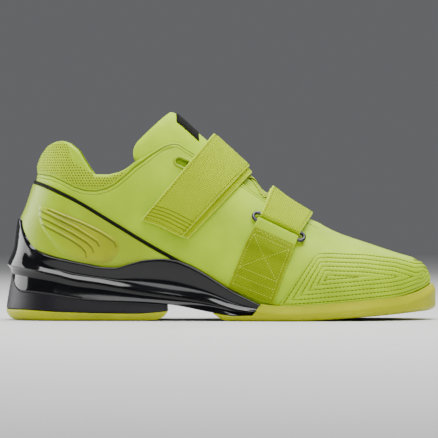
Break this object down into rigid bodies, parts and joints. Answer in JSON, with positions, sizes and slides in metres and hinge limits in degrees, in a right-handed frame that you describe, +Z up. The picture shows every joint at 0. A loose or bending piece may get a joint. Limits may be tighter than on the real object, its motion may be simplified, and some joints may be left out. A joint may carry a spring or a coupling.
{
  "type": "weightlifting shoe",
  "caption": "Low-cut shoe with a raised rigid heel, flat rubber soles, a padded tongue and crossing straps that turn back through metal loops.",
  "frame": {"origin": "on the floor under the middle of the shoe's box", "axes": "+X from heel to toe, +Z up, -Y the outer side of the right foot"},
  "size_m": [0.295, 0.107, 0.1426],
  "materials": {
    "outsole_rubber": "translucent yellow-green rubber, smooth",
    "cradle_plastic": "polished black",
    "heel_block_plastic": "satin black",
    "upper_synthetic": "smooth yellow-green synthetic leather",
    "pad_plastic": "translucent yellow, moulded",
    "piping_fabric": "black woven edging",
    "strap_webbing": "woven yellow-green webbing",
    "lining_fabric": "yellow-green knit",
    "lace_cord": "flat woven lace",
    "loop_metal": "dark polished wire"
  },
  "bodies": {
    "root": {"outsole_forefoot": "outsole_rubber", "outsole_heel": "outsole_rubber", "heel_block": "heel_block_plastic", "heel_cradle": "cradle_plastic", "insole": "lining_fabric", "upper": "upper_synthetic", "tongue": "upper_synthetic", "heel_counter": "upper_synthetic", "heel_piping": "piping_fabric", "heel_pad_lateral": "pad_plastic", "heel_pad_medial": "pad_plastic", "toe_overlay_lateral": "upper_synthetic", "toe_overlay_medial": "upper_synthetic", "lace_crossings": "lace_cord", "strap_upper": "strap_webbing", "strap_lower": "strap_webbing", "ring_lateral": "loop_metal", "ring_medial": "loop_metal", "tab_lateral": "strap_webbing", "tab_medial": "strap_webbing"}
  },
  "joints": []
}
